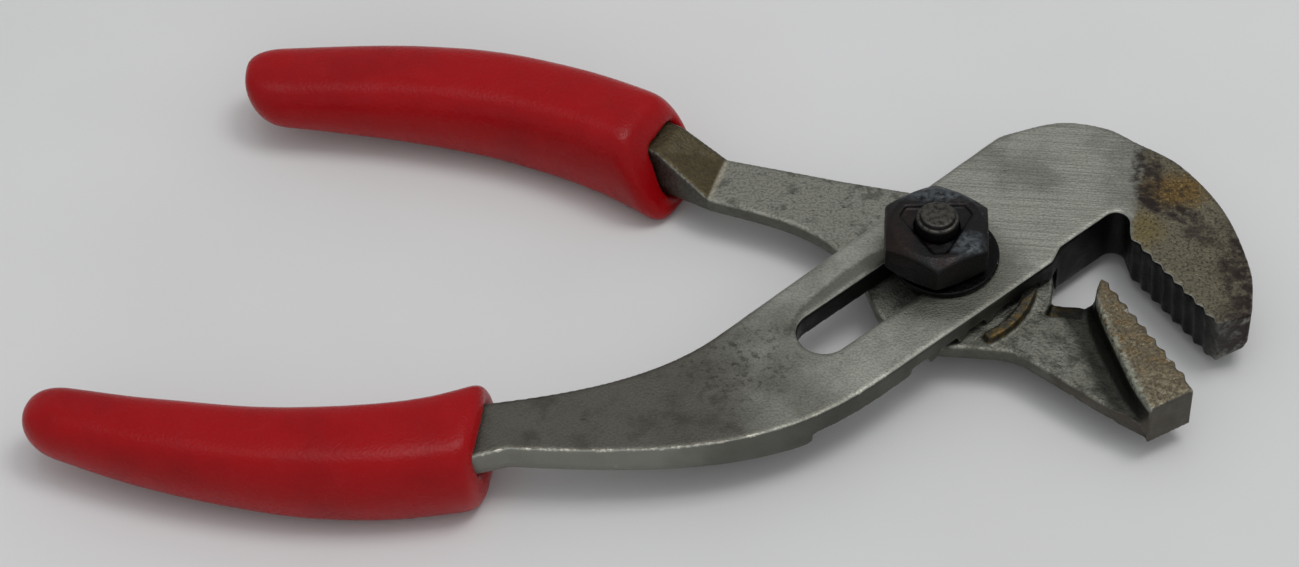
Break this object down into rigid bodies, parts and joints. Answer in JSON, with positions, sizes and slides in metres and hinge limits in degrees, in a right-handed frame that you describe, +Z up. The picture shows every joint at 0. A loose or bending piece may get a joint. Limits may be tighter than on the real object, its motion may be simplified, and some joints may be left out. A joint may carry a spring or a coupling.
{
  "type": "tongue and groove pliers",
  "caption": "Adjustable pliers with a bolted pivot sliding in a slotted steel lever, an arc tongue and grooves, toothed angled jaws and red dipped grips.",
  "frame": {"origin": "middle of the bolt head's lower face, on the pivot axis, at the table's height", "axes": "+Z up along the pivot axis through the nut; +X from the handles to the jaws; +Y from the slotted lever's handle to the tongue lever's handle"},
  "size_m": [0.1128, 0.0552, 0.0134],
  "materials": {
    "slotted_lever": "ground forged steel, heat tinted at the jaw",
    "slotted_lever_grip": "dipped soft plastic",
    "tongue_lever": "ground forged steel with black scale",
    "tongue_lever_grip": "dipped soft plastic",
    "pivot_bolt": "black oxide",
    "pivot_washer": "black oxide",
    "pivot_nut": "black oxide with worn edges"
  },
  "bodies": {
    "slotted_side": {"slotted_lever": "slotted_lever", "slotted_lever_grip": "slotted_lever_grip"},
    "pivot": {"pivot_bolt": "pivot_bolt", "pivot_washer": "pivot_washer", "pivot_nut": "pivot_nut"},
    "tongue_side": {"tongue_lever": "tongue_lever", "tongue_lever_grip": "tongue_lever_grip"}
  },
  "joints": [
    {"name": "slot_slide", "type": "slide", "parent": "slotted_side", "child": "pivot", "axis": [-0.7547, -0.6561, 0], "range_m": [0, 0.014]},
    {"name": "jaw_hinge", "type": "hinge", "parent": "pivot", "child": "tongue_side", "pos_m": [0, 0, 0], "axis": [0, 0, 1], "range_deg": [-20, 12.5]}
  ]
}
